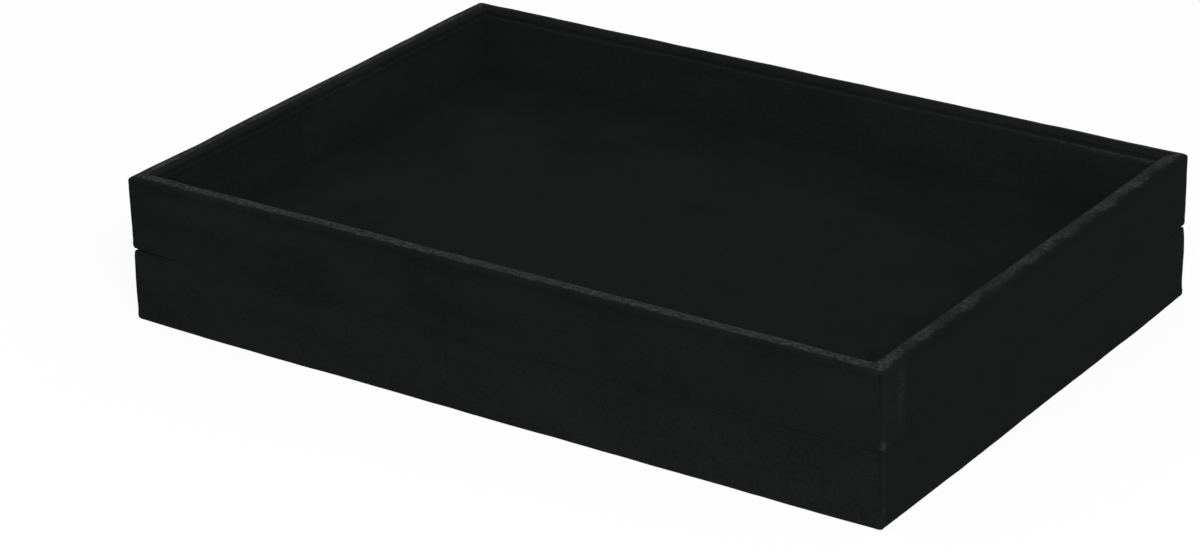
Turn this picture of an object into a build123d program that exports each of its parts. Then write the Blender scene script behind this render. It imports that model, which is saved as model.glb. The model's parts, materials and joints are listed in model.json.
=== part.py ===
from build123d import *
import os

# Two equal jewelry trays, one standing on the other. Each is a wooden frame wrapped in velvet, with
# a base panel let into its underside, lined walls and a padded floor. Millimetres, +Z up, the origin
# on the table under the middle of the stack, the front at -Y. Depths into a wall count from the
# outside of the velvet.

# Outside of one tray
tray_length = 350.5
tray_depth = 241.3
tray_height = 31.0

# Each tray of the stack, from the table up, and the corner where the end of its wrap is lapped:
# 1 at the front of the right side, -1 at the back of the left side
stack = {"lower": -1, "upper": 1}

# Sheet materials
velvet = 0.7
board = 6.0
panel = 2.5
paper = 0.3
liner_card = 1.0
floor_card = 0.6

# Edges, on the outside of the velvet
corner_radius = 2.2
rim_outer_radius = 2.0
rim_inner_radius = 1.5
foot_radius = 1.5

# Joints of the frame
tongue = 3.0
rabbet = 3.5
panel_clearance = 0.2
paper_margin = 2.5

# Lining
liner_drop = 2.6
liner_edge_radius = 0.6
floor_clearance = 0.1
floor_edge_radius = 0.6

# Lap at the end of the wrap
lap_width = 15.8
lap_rise = 0.3
lap_bevel = 45

# Corner brads, through the long boards into the ends of the short ones
brad_radius = 0.6
brad_length = 15.0
brad_head_radius = 1.0
brad_head = 0.5
brad_heights = (8.0, 23.0)

# Base pins, up through the panel into the ledge of the frame
pin_radius = 0.5
pin_length = 10.0
pin_head_radius = 0.8
pin_head = 0.4
pin_end_margin = 35.0
long_side_pins = 5
short_side_pins = 3
fixing_clearance = 0.02

# What follows from these
wall = board + 2 * velvet
foot_bottom = paper
ledge = paper + panel
lip = wall - rabbet
panel_edge = lip + panel_clearance
liner_face = wall + liner_card + velvet
liner_top = tray_height - liner_drop
floor_edge = liner_face + floor_clearance
floor_top = ledge + floor_card + velvet
pin_line = (panel_edge + wall - velvet) / 2
brad_line = velvet + board / 2


def between(inset):
    """Length and depth of the tray that is left inside a wall of this depth."""
    return tray_length - 2 * inset, tray_depth - 2 * inset


def slab(base, low, high, inset):
    """A flat plate that fills the tray inside a wall of this depth, between two heights."""
    with BuildPart() as plate:
        with BuildSketch(base.offset(low)):
            Rectangle(*between(inset))
        extrude(amount=high - low)
    return plate.part


def frame_ring(base, skin):
    """The four walls in one piece, a skin's thickness inside the finished surface."""
    with BuildPart() as ring:
        with BuildSketch(base.offset(foot_bottom + skin)):
            RectangleRounded(*between(skin), corner_radius - skin)
            Rectangle(*between(wall - skin), mode=Mode.SUBTRACT)
        extrude(amount=tray_height - foot_bottom - 2 * skin)
        rim = ring.faces().sort_by(Axis.Z)[-1]
        fillet(rim.outer_wire().edges(), rim_outer_radius - skin)
        rim = ring.faces().sort_by(Axis.Z)[-1]
        fillet(rim.inner_wires()[0].edges(), rim_inner_radius - skin)
        foot = ring.faces().sort_by(Axis.Z)[0]
        fillet(foot.outer_wire().edges(), foot_radius - skin)
        with BuildSketch(base):
            Rectangle(*between(lip - skin))
        extrude(amount=ledge, mode=Mode.SUBTRACT)
    return ring.part


def brad_places(base):
    """Heads of the corner brads, on the outer faces of the long boards."""
    across = tray_length / 2 - brad_line
    out = tray_depth / 2 - velvet
    return [
        Plane(base.from_local_coords((x, side * out, height)), x_dir=(1, 0, 0), z_dir=(0, side, 0))
        for side in (-1, 1)
        for x in (-across, across)
        for height in brad_heights
    ]


def pin_places(base):
    """Heads of the base pins, on the underside of the panel along the middle of the ledge."""
    along = tray_length / 2 - pin_line
    back = tray_depth / 2 - pin_line
    long_pitch = (tray_length - 2 * pin_end_margin) / (long_side_pins - 1)
    short_pitch = (tray_depth - 2 * pin_end_margin) / (short_side_pins - 1)
    long_steps = [(step - (long_side_pins - 1) / 2) * long_pitch for step in range(long_side_pins)]
    short_steps = [(step - (short_side_pins - 1) / 2) * short_pitch for step in range(short_side_pins)]
    spots = [(x, side * back) for x in long_steps for side in (-1, 1)]
    spots += [(side * along, y) for y in short_steps for side in (-1, 1)]
    return [
        Plane(base.from_local_coords((x, y, foot_bottom)), x_dir=(1, 0, 0), z_dir=(0, 0, -1))
        for x, y in spots
    ]


def drill_fixings(base):
    """Holes for all brads and pins, with room for their heads, in the part being built."""
    with Locations(*brad_places(base)):
        CounterBoreHole(
            brad_radius + fixing_clearance, brad_head_radius + fixing_clearance, brad_head, brad_length
        )
    with Locations(*pin_places(base)):
        CounterBoreHole(
            pin_radius + fixing_clearance, pin_head_radius + fixing_clearance, pin_head, pin_length
        )


def write(piece, node):
    """Label a finished piece and write it as its own node."""
    piece.label = node
    export_step(piece, f"parts/{node}.step")


def make_boards(base, tray, core):
    """Two long boards with rabbeted ends, and two short boards let into them."""
    short_reach = tray_depth / 2 - velvet - tongue
    for name, side in (("front", -1), ("back", 1)):
        with BuildPart() as long_board:
            add(core)
            with BuildSketch(base):
                with Locations((0, side * (tray_depth / 2 - brad_line))):
                    Rectangle(tray_length, board)
                for end in (-1, 1):
                    with Locations((end * (tray_length / 2 - brad_line), 0)):
                        Rectangle(board, 2 * short_reach, mode=Mode.SUBTRACT)
            extrude(amount=tray_height, mode=Mode.INTERSECT)
            drill_fixings(base)
        write(long_board.part, f"{tray}_{name}_board")
    for name, side in (("left", -1), ("right", 1)):
        with BuildPart() as short_board:
            add(core)
            with BuildSketch(base):
                with Locations((side * (tray_length / 2 - brad_line), 0)):
                    Rectangle(board, 2 * short_reach)
            extrude(amount=tray_height, mode=Mode.INTERSECT)
            drill_fixings(base)
        write(short_board.part, f"{tray}_{name}_board")


def make_wrap(base, tray, core, lap_corner):
    """Velvet round the frame: tucked into the rabbet, under the foot, over the rim and down inside."""
    with BuildPart() as frame_wrap:
        add(frame_ring(base, 0))
        add(core, mode=Mode.SUBTRACT)
        flat_height = tray_height - rim_outer_radius - foot_bottom - foot_radius
        flat_width = lap_width - corner_radius
        lap_middle = base.from_local_coords((
            lap_corner * tray_length / 2,
            -lap_corner * (tray_depth / 2 - corner_radius - flat_width / 2),
            foot_bottom + foot_radius + flat_height / 2,
        ))
        with BuildSketch(Plane(lap_middle, x_dir=(0, 1, 0), z_dir=(lap_corner, 0, 0))):
            Rectangle(flat_width, flat_height)
        extrude(amount=lap_rise, taper=lap_bevel)
    write(frame_wrap.part, f"{tray}_frame_wrap")


def make_base(base, tray):
    """Panel in the rabbet, its pins, and the paper that covers both and laps the wrap's hem."""
    with BuildPart() as base_panel:
        add(slab(base, paper, ledge, panel_edge))
        drill_fixings(base)
    write(base_panel.part, f"{tray}_base_panel")
    with BuildPart() as base_pins:
        with Locations(*pin_places(base)):
            Cylinder(pin_radius, pin_length, align=(Align.CENTER, Align.CENTER, Align.MAX))
            Cylinder(pin_head_radius, pin_head, align=(Align.CENTER, Align.CENTER, Align.MAX))
    write(base_pins.part, f"{tray}_base_pins")
    with BuildPart() as base_paper:
        add(slab(base, 0, paper, paper_margin))
    write(base_paper.part, f"{tray}_base_paper")


def make_brads(base, tray):
    """Headed brads, sunk flush in the outer faces of the long boards."""
    with BuildPart() as corner_brads:
        with Locations(*brad_places(base)):
            Cylinder(brad_radius, brad_length, align=(Align.CENTER, Align.CENTER, Align.MAX))
            Cylinder(brad_head_radius, brad_head, align=(Align.CENTER, Align.CENTER, Align.MAX))
    write(corner_brads.part, f"{tray}_corner_brads")


def make_liner(base, tray, name, facing, reach, half_length):
    """One wall's lining: a card strip, and velvet over its face and its top edge.

    The strip's section lies across the wall, facing the middle of the tray, and runs along it."""
    start = base.from_local_coords((0, 0, 0)) + facing * -reach
    along = facing.cross(Vector(0, 0, 1))
    section = Plane(start - along * half_length, x_dir=facing, z_dir=along)
    card_top = liner_top - velvet
    with BuildPart() as card:
        with BuildSketch(section):
            with Locations((wall, ledge)):
                Rectangle(liner_card, card_top - ledge, align=Align.MIN)
        extrude(amount=2 * half_length)
    write(card.part, f"{tray}_{name}_liner_card")
    with BuildPart() as cover:
        with BuildSketch(section) as profile:
            with Locations((wall, ledge)):
                Rectangle(liner_card + velvet, liner_top - ledge, align=Align.MIN)
            fillet(profile.vertices().group_by(Axis.Z)[-1], liner_edge_radius)
            with Locations((wall, ledge)):
                Rectangle(liner_card, card_top - ledge, align=Align.MIN, mode=Mode.SUBTRACT)
        extrude(amount=2 * half_length)
    write(cover.part, f"{tray}_{name}_liner_velvet")


def make_lining(base, tray):
    """Long liners from end to end, and short ones between them."""
    long_half = tray_length / 2 - wall
    short_half = tray_depth / 2 - liner_face
    for name, side in (("front", 1), ("back", -1)):
        make_liner(base, tray, name, Vector(0, side, 0), tray_depth / 2, long_half)
    for name, side in (("left", 1), ("right", -1)):
        make_liner(base, tray, name, Vector(side, 0, 0), tray_length / 2, short_half)


def make_floor(base, tray):
    """Floor pad: card, and velvet over its top and turned down round its edges."""
    card_edge = floor_edge + velvet
    card = slab(base, ledge, ledge + floor_card, card_edge)
    write(card, f"{tray}_floor_card")
    with BuildPart() as floor_velvet:
        add(slab(base, ledge, floor_top, floor_edge))
        fillet(floor_velvet.edges().group_by(Axis.Z)[-1], floor_edge_radius)
        add(card, mode=Mode.SUBTRACT)
    write(floor_velvet.part, f"{tray}_floor_velvet")


os.makedirs("parts", exist_ok=True)
for level, (tray, lap_corner) in enumerate(stack.items()):
    base = Plane.XY.offset(level * tray_height)
    core = frame_ring(base, velvet)
    make_boards(base, tray, core)
    make_brads(base, tray)
    make_wrap(base, tray, core, lap_corner)
    make_base(base, tray)
    make_lining(base, tray)
    make_floor(base, tray)
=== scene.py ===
import json
import math
from typing import NamedTuple

import bpy
import numpy as np
from mathutils import Matrix, Vector


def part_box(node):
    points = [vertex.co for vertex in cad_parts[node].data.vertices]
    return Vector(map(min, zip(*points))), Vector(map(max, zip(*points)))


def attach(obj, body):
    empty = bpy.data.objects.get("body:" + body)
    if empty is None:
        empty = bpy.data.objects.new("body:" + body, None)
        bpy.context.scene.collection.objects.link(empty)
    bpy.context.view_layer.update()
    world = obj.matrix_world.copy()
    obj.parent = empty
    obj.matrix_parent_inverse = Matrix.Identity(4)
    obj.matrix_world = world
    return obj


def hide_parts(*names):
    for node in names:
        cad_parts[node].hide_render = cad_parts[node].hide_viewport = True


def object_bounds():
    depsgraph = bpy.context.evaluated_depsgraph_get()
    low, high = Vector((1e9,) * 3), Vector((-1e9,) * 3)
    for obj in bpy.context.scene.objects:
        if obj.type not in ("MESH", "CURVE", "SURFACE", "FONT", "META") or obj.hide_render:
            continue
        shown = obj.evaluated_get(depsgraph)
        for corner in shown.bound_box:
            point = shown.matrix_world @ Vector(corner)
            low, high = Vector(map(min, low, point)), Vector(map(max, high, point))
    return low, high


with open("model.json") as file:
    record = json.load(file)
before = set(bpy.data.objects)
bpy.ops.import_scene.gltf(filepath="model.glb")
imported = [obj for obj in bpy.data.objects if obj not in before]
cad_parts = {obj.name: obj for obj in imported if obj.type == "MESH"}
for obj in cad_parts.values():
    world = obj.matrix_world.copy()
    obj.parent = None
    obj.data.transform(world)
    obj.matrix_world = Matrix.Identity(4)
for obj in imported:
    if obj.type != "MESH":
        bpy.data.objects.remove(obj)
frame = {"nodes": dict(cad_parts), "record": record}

cad_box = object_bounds()


class Unevenness(NamedTuple):
    """Random waves over two lengths: seed, shortest and longest for both, number and mean size."""

    seed: int
    shortest: tuple
    longest: tuple
    count: int
    size: float


class Texture(NamedTuple):
    """Noise in a material: its scale per metre, its octaves of detail and how rough they are."""

    scale: float
    detail: float
    rough: float


# Two velvet-wrapped jewelry trays, one on the other. Lengths are in metres. A depth counts inwards
# from the outside of a tray's wall, and a height counts up from the table. The velvet's pile is
# paler by a share from 0 to 1, where it is opened or where a highlight or light is painted, and
# darker by a share below 0, where shade is painted or in a darker line by the upright edges.
MM = 0.001
TRAYS = ("lower", "upper")
WALLS = ("front", "back", "left", "right")
WALL_SIDES = {"front": -1, "back": 1, "left": -1, "right": 1}
LONG_WALLS = ("front", "back")

# Section of the wrap across a wall
HEM_GAP = 0.2 * MM
HEM_DROP = 0.28 * MM
HEM_RADIUS = 0.4 * MM
SEAM_RADIUS = 0.15 * MM
RIM_OUTER_RADIUS = 1.2 * MM
RIM_INNER_RADIUS = 0.75 * MM
CROWN = 0.2 * MM
HIDDEN_RADIUS = 0.8 * MM
HIDDEN_RIM_RADIUS = 1.3 * MM
UNDER_STARTS = 0.5 * MM
INSIDE_STARTS = 0.5 * MM
HIDDEN_MARGIN = 1.2 * MM
HIDDEN_RIM_MARGIN = 2 * MM

# Corners of the wrap from above, and how much looser its section is near them and along each wall
CORNER_RADIUS = 1.4 * MM
INNER_CORNER_RADIUS = 0.8 * MM
CORNER_FOOT_RADIUS = 1.5 * MM
CORNER_SEAM_RADIUS = 1.1 * MM
CORNER_RIM_RADIUS = 0.8 * MM
SEAM_OPENS = 20 * MM
LAPPED_CORNER_SLACK = 0.3
WALL_SLACK = {"front": 0.05, "back": 0.2, "left": 0.2, "right": 0.0}

# How finely the wrap is drawn
LONG_WALL_STATIONS = 200
SHORT_WALL_STATIONS = 140
STATION_CROWDING = 1.5
CORNER_STATIONS = 11
LAP_EDGE_STATIONS = np.array([-0.5, -0.3, -0.15, -0.05, 0.05, 0.15, 0.3, 0.5]) * MM
RABBET_STEP = 1 * MM
HEM_POINTS = 4
FOOT_POINTS = 10
OUTSIDE_POINTS = 22
RIM_POINTS = 12
RIM_TOP_POINTS = 16
INSIDE_STEP = 2.5 * MM
HIDDEN_STEP = 12 * MM

# Uneven surface of the wrap, and of its pile
BILLOWS = Unevenness(0, (30 * MM, 20 * MM), (160 * MM, 70 * MM), 30, 0.07 * MM)
PUCKERS = Unevenness(1, (8 * MM, 6 * MM), (30 * MM, 20 * MM), 40, 0.02 * MM)
LAP_FRAYS = Unevenness(2, (2 * MM, 2 * MM), (9 * MM, 9 * MM), 12, 0.12 * MM)
TUFTED = Unevenness(3, (3 * MM, 2 * MM), (12 * MM, 8 * MM), 40, 0.22)
PATCHED = Unevenness(4, (20 * MM, 20 * MM), (90 * MM, 50 * MM), 20, 0.2)
BAND_WANDERS = Unevenness(5, (4 * MM, 100 * MM), (30 * MM, 200 * MM), 20, 0.4 * MM)
TUFTED_RANGE = (0.3, 1.6)
PATCHED_RANGE = (0.4, 1.5)
WEAKEST_WAVE = 0.4

# How far the wrap stands off its plain section
PILE = 0.2 * MM
INNER_PILE = 0.5 * MM
PILE_GROWS_OVER = 3 * MM
PILE_STARTS_OVER = 1 * MM
SQUASHED_WITHIN = 0.5 * MM
LOWEST_SHARE = 0.6
MITRE_CREASE = 0.17 * MM
MITRE_WIDTH = 0.35 * MM
MITRE_STARTS_OVER = 1.5 * MM
NUB_RISE = 0.3 * MM
NUB_REACH = 2.4 * MM
NUB_HEIGHT = 2.2 * MM
NUB_SPREAD = 1.5 * MM
TUCK = 0.42 * MM
TUCK_REACH = 9 * MM
RIGHT_TUCK_HEIGHT = 4.0 * MM
LEFT_TUCK_HEIGHT = 1.6 * MM
FOLD = 0.2 * MM
FOLD_PLACE = 1.5 * MM
FOLD_WIDTH = 0.35 * MM
FOLD_STARTS = 4 * MM

# Lap at the end of the wrap
LAP_WIDTH = 15.8 * MM
LAP_RISE = 0.3 * MM
LAP_EDGE_WIDTH = 0.4 * MM
LAP_ROLL = 0.08 * MM
LAP_ROLL_PLACE = 0.9 * MM
LAP_ROLL_WIDTH = 1.1 * MM
LAP_TURNS_WITHIN = 1.5 * MM
LAP_STARTS = 0.5 * MM

# Opened pile and a painted highlight along the top of each rim: a band between two depths, and a
# painted highlight line at the inner edge
BAND_STARTS = {"front": 2.4 * MM, "back": 1.9 * MM, "left": 1.6 * MM, "right": 2.2 * MM}
BAND_ENDS = {"front": 7.8 * MM, "back": 2.9 * MM, "left": 4.9 * MM, "right": 6.7 * MM}
BAND_PILE_AND_HIGHLIGHT = {"front": 0.54, "back": 0.6, "left": 0.55, "right": 0.4}
BAND_WANDERS_BY = {"front": 0.5, "back": 0.5, "left": 0.5, "right": 2.0}
BAND_START_WIDTH = {"front": 0.9 * MM, "back": 0.9 * MM, "left": 0.9 * MM, "right": 2.3 * MM}
BAND_END_WIDTH = 1 * MM
BAND_PATCHED_BY = {"front": 0.5, "back": 0.5, "left": 1.5, "right": 1.5}
RIGHT_BAND_WEAKER = 0.13
RIGHT_BAND_WEAKER_PLACE = -45 * MM
RIGHT_BAND_WEAKER_REACH = 30 * MM
# Painted highlight at the right end of the back rim, and of the back liner's top edge
BACK_RIM_PAINTED_HIGHLIGHT = 0.4
BACK_HIGHLIGHT_FROM = 90 * MM
BACK_HIGHLIGHT_OVER = 50 * MM
# A painted highlight line along the inner edge of the rim
INNER_LINE_PAINTED_HIGHLIGHT = {"front": 0.5, "back": 0.0, "left": 0.0, "right": 0.04}
INNER_LINE_INSET = 0.4 * MM
INNER_LINE_WIDTH = 0.5 * MM
RIM_TOP_WITHIN = 0.9 * MM

# Paler pile of the marks on the outside, where it stands open. A pair gives the share at the foot and at
# the rim.
CORNER_OPENED = 0.05
CORNER_REACH = 1.3 * MM
BESIDE_CORNER_OPENED = (0.22, 0.07)
BESIDE_CORNER_PLACE = 1.7 * MM
BESIDE_CORNER_WIDTH = 0.8 * MM
NUB_OPENED = 0.52
NUB_OPENED_X_WIDTH = 0.9 * MM
NUB_OPENED_Y_PLACE = 1.0 * MM
NUB_OPENED_Y_WIDTH = 1.2 * MM
NUB_OPENED_SPREAD = 2.2 * MM
TIP_OPENED = 0.9
TIP_X_PLACE = 3.0 * MM
TIP_X_WIDTH = 1.6 * MM
TIP_Y_PLACE = 3.8 * MM
TIP_Y_WIDTH = 1.9 * MM
LAP_OPENED = 0.11
STREAK_OPENED = (0.081, 0.27)
STREAK_PLACE = 3.6 * MM
STREAK_WIDTH = 3.3 * MM
LAP_EDGE_OPENED = (0.1, 0.25)
LAP_EDGE_PLACE = 0.5 * MM
LAP_EDGE_OPENED_WIDTH = 0.6 * MM
HEM_OPENED = {"front": 0.06, "back": 0.0, "left": 0.0, "right": 0.06}
HEM_OPENED_HEIGHT = 0.3 * MM
HEM_OPENED_WIDTH = 0.5 * MM

# Painted light and painted shade on the wrap's pile, and a darker line beside each upright edge.
# The seam's rim is the covered one, and the free rim is on top.
# Painted light on the lower tray's front face, lighter towards the right, and painted shade on the upper
# tray's right face
LOWER_FRONT_PAINTED_LIGHT = 0.035
LOWER_FRONT_PAINTED_LIGHT_SLOPE = 0.02
UPPER_RIGHT_PAINTED_SHADE = 0.07
# Painted shade where the cloth turns up over the rim's outer edge
SEAM_RIM_PAINTED_SHADE = 0.1
FREE_RIM_PAINTED_SHADE = 0.22
RIM_EDGE_SHADE_PLACE = 0.2 * MM
RIM_EDGE_SHADE_DEPTH = 1.6 * MM
RIM_EDGE_SHADE_HEIGHT = 2.6 * MM
RIM_EDGE_SHADE_WALLS = {"front": 1, "back": 0, "left": 0, "right": 1}
RIM_EDGE_SHADE_SPARED = 0.8
RIM_EDGE_SHADE_SPARED_REACH = 12 * MM
# Painted shade on the inner part of the back rim
BACK_RIM_PAINTED_SHADE = 0.18
BACK_RIM_SHADE_FROM = 2.8 * MM
BACK_RIM_SHADE_OVER = 0.6 * MM
# A darker line beside each upright edge
CORNER_LINE_DARKER = 0.3
CORNER_LINE_PLACE = 0.6 * MM
CORNER_LINE_WIDTH = 0.6 * MM

# How far marks reach from the rim's top, from the outer faces or from an upright edge
ON_TOP_WITHIN = 2 * MM
OUTSIDE_WITHIN = 1.5 * MM
AT_CORNER_WITHIN = 1.2 * MM
HEM_WITHIN = 1 * MM
FACE_WITHIN = 0.5 * MM
BESIDE_EDGE_WITHIN = 0.6 * MM

# Liner cloths
LINER_EDGE_RADIUS = 0.7 * MM
LINER_PUFF = 0.5 * MM
LINER_SWELL = 0.12 * MM
LINER_STEP = 1.5 * MM
LINER_EDGE_POINTS = 9
LINER_TOP_POINT = 0.5 * MM
LINER_TOP_WITHIN = 2 * MM
LINER_FOOT_WITHIN = 1 * MM
LONG_LINER_STATIONS = 150
SHORT_LINER_STATIONS = 110
LINER_CROWDING = 1.2
LINER_BILLOWS = Unevenness(0, (30 * MM, 15 * MM), (120 * MM, 50 * MM), 24, 0.05 * MM)
LINER_SAG = Unevenness(1, (20 * MM, 20 * MM), (150 * MM, 150 * MM), 12, 0.12 * MM)
LINER_TUFTED = Unevenness(2, (4 * MM, 4 * MM), (30 * MM, 30 * MM), 24, 0.35)
LINER_TUFTED_RANGE = (0.3, 1.7)
# Painted light on each liner's face, most on the left; a painted highlight along the top edge of the
# front, back and right liners, and painted shade along the left one's
LINER_PAINTED_LIGHT = {"front": 0.02, "back": 0.025, "left": 0.055, "right": 0.02}
LINER_EDGE_HIGHLIGHT_AND_SHADE = {"front": 0.1, "back": 0.16, "left": -0.12, "right": 0.1}
LINER_EDGE_WIDTH = 0.9 * MM

# Floor cloths
FLOOR_EDGE_RADIUS = 0.6 * MM
FLOOR_EDGE_POINTS = 6
FLOOR_STATIONS = (168, 113)
FLOOR_SINKS = 0.15 * MM
FLOOR_FLAT_WITHIN = 0.5 * MM
FLOOR_THICKNESS = 0.55 * MM
FLOOR_NAP = Unevenness(0, (30 * MM, 30 * MM), (150 * MM, 150 * MM), 40, 0.07 * MM)
FLOOR_GRAIN = Unevenness(1, (8 * MM, 8 * MM), (25 * MM, 25 * MM), 40, 0.015 * MM)
# Painted shade over the floor, eased off near the left wall, which leaves painted light in that wall's
# shadow
FLOOR_PAINTED_SHADE = 0.17
FLOOR_SHADE_SPARED = 0.65
FLOOR_SHADE_SPARED_REACH = 35 * MM
FLOOR_EDGE_OPENED = 0.25
FLOOR_EDGE_PLACE = 0.1 * MM
FLOOR_EDGE_WIDTH = 0.15 * MM

# Seeds of the random waves: each tray's first one, and how far on each cloth starts
TRAY_SEEDS = 100
FLOOR_SEED = 10
LINER_SEED = 20
LINER_SEED_STEP = 5

# Velvet. Its blotches are a broad and a fine noise, and its grain is tufts and clumps of pile.
VELVET_PILE = (0.0080, 0.0089, 0.0090)
VELVET_GROUND = (0.039, 0.0395, 0.040)
BLOTCHES = 0.35
BRUSHED = Texture(22.0, 3.0, 0.55)
BRUSHED_STRETCH = (1, 1, 2.4)
BRUSHED_SHARE = 2.0
MOTTLED = Texture(130.0, 3.0, 0.6)
MOTTLED_SHARE = 0.6
TUFTS = Texture(1900.0, 1.0, 0.5)
CLUMPS = Texture(620.0, 2.0, 0.6)
GRAIN = 0.5
TUFT_HEIGHT = 0.5
FLECKS = Texture(800.0, 2.0, 0.6)
FLECKS_FROM = (0.35, 0.65)
FLECKS_TO = (0.2, 1.8)
VELVET_SHEEN_TINT = (0.95, 0.97, 1.0, 1)

# Other finishes
FIBREBOARD = (0.36, 0.24, 0.13)
THIN_FIBREBOARD = (0.30, 0.19, 0.10)
GREYBOARD = (0.27, 0.26, 0.24)
BLACK_PAPER = (0.016, 0.016, 0.017)
DARK_STEEL = (0.42, 0.42, 0.43, 1)
BRIGHT_STEEL = (0.62, 0.62, 0.63, 1)
STEEL_ROUGHNESS = (0.25, 0.45)
BOARD_FIBRES = Texture(900.0, 4.0, 0.7)
BOARD_CLOUDS = Texture(60.0, 2.0, 0.5)
BOARD_SHADES = (0.62, 1.25)
PAPER_SHADES = (0.8, 1.2)
DRAWN = Texture(2500.0, 2.0, 0.6)
DRAWN_STRETCH = (1, 1, 0.1)
NOISE_RANGE = (0.3, 0.7)

# Camera, fitted to the outline of the stack in the photograph
VIEW_AZIMUTH = math.radians(34.878)
VIEW_ELEVATION = math.radians(24.003)
VIEW_ROLL = math.radians(-1.4306)
VIEW_DISTANCE = 1545.91 * MM
VIEW_SIDESTEP = -23.738 * MM
VIEW_RISE = -16.108 * MM
LENS = 114.75
SENSOR = 36.0
NEAREST = 0.1
FARTHEST = 20

# Light: an even world, a broad lamp on the viewer's side and a small one on the left
SKY = 0.45
FILL_PLACE = (1.82, -2.1, 2.02)
FILL_SIZE = (2.2, 1.1)
FILL_POWER = 104
KEY_PLACE = (-2.3, -0.2, 2.2)
KEY_SIZE = (0.3, 0.3)
KEY_POWER = 5
WHITE = (1, 1, 1, 1)
GROUND_SHADE = (0.4, 0.4, 0.4, 1)
GROUND_GLOW = 0.9
GROUND_REACH = 4.0


class Tray:
    """The sizes of one tray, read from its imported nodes."""

    def __init__(self, name):
        wrap_low, wrap_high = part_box(f"{name}_frame_wrap")
        board_low, board_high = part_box(f"{name}_front_board")
        card_low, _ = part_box(f"{name}_front_liner_card")
        _, liner_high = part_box(f"{name}_front_liner_velvet")
        panel_low, panel_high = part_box(f"{name}_base_panel")
        floor_low, floor_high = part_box(f"{name}_floor_velvet")
        self.name = name
        self.half_depth = -wrap_low.y
        self.velvet = board_low.y - wrap_low.y
        self.half_length = board_high.x + self.velvet
        self.foot, self.rim = wrap_low.z - HEM_DROP, wrap_high.z
        self.ledge = panel_high.z
        self.wall = card_low.y - wrap_low.y
        self.lip = panel_low.y - wrap_low.y - HEM_GAP
        self.liner_face = liner_high.y - wrap_low.y
        self.liner_top = liner_high.z
        self.floor_edge = floor_low.y - wrap_low.y
        self.floor_top = floor_high.z
        lap_at_right = wrap_high.x > -wrap_low.x
        self.lap_corner = 1 if lap_at_right else -1


def bell(value, middle, width):
    """A bell curve of height 1: e to the minus square of the way from its middle over its width."""
    return np.exp(-(((value - middle) / width) ** 2))


def rise(value, width):
    """A straight rise from 0 to 1 of this width, half-way up where the value is 0."""
    return np.clip(value / width + 0.5, 0, 1)


def between(pair, share):
    """The number that lies this share of the way from the first of a pair to the second."""
    return pair[0] + (pair[1] - pair[0]) * share


def inner_steps(low, high, count):
    """Even steps between low and high, without either end."""
    return np.linspace(low, high, count + 2)[1:-1]


def crowded_steps(low, high, count, crowding):
    """Numbers from low to high, closer together near both ends: a tanh of even steps."""
    even = np.linspace(-1, 1, count)
    bent = np.tanh(crowding * even) / math.tanh(crowding)
    return low + (high - low) * (bent + 1) / 2


def arc_corner(before, corner, after, radius, count):
    """Points along the arc of this radius that is tangent to both runs of a corner in a plane.

    The centre lies on the corner's bisector. Between the arc's ends, each point is the sum of both
    end radii, weighted by the sines of the angles to the other end."""
    before, corner, after = (np.asarray(p, float) for p in (before, corner, after))
    one = (before - corner) / np.linalg.norm(before - corner)
    two = (after - corner) / np.linalg.norm(after - corner)
    half = math.acos(np.clip(one @ two, -1, 1)) / 2
    centre = corner + (one + two) / np.linalg.norm(one + two) * radius / math.sin(half)
    start = corner + one * radius / math.tan(half) - centre
    end = corner + two * radius / math.tan(half) - centre
    turn = np.linspace(0, 1, count)[:, None]
    sweep = math.pi - 2 * half
    return centre + (np.sin((1 - turn) * sweep) * start + np.sin(turn * sweep) * end) / math.sin(sweep)


def run(start, end, step):
    """Even points from start up to, but without, end."""
    start, end = np.asarray(start, float), np.asarray(end, float)
    count = max(1, round(float(np.linalg.norm(end - start)) / step))
    return start + (end - start) * (np.arange(count) / count)[:, None]


def waves(kind, first_seed):
    """A gentle uneven surface, as a sum of random sine waves over two lengths in metres.

    Returns a function of both lengths. Its root mean square is the size of this unevenness."""
    random = np.random.default_rng(first_seed + kind.seed)
    across = 2 * math.pi / random.uniform(kind.shortest[0], kind.longest[0], kind.count)
    along = 2 * math.pi / random.uniform(kind.shortest[1], kind.longest[1], kind.count)
    across *= random.choice([-1, 1], kind.count)
    phase = random.uniform(0, 2 * math.pi, kind.count)
    weight = random.uniform(WEAKEST_WAVE, 1, kind.count)
    weight *= kind.size * math.sqrt(2) / math.sqrt(float(weight @ weight))

    def height(first, second):
        total = np.zeros(np.broadcast(first, second).shape)
        for a, b, p, w in zip(across, along, phase, weight):
            total += w * np.sin(a * first + b * second + p)
        return total

    return height


def grid_faces(rows, columns, wrap_rows, wrap_columns):
    """Corner numbers of the faces between neighbouring points of a grid, closed where it wraps."""
    row = np.arange(rows if wrap_rows else rows - 1)[:, None]
    column = np.arange(columns if wrap_columns else columns - 1)[None, :]
    next_row, next_column = (row + 1) % rows, (column + 1) % columns
    corners = [row * columns + column, row * columns + next_column]
    corners += [next_row * columns + next_column, next_row * columns + column]
    return np.stack(np.broadcast_arrays(*corners), axis=-1).reshape(-1, 4)


def close_outline(shown, hidden):
    """A closed outline from its shown and its hidden points, and which of them show."""
    shows = np.concatenate([np.ones(len(shown)), np.zeros(len(hidden))])
    return np.concatenate([shown, hidden]), shows


def outline_turns(outline):
    """Unit steps along a closed outline, each from the point before to the point after."""
    step = np.roll(outline, -1, axis=0) - np.roll(outline, 1, axis=0)
    return step / np.linalg.norm(step, axis=1)[:, None]


def run_length(*steps):
    """The way covered up to each point of a line, starting at 0, from the steps between them."""
    lengths = np.sqrt(sum(step**2 for step in steps))
    return np.concatenate([[0], np.cumsum(lengths)])


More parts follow.
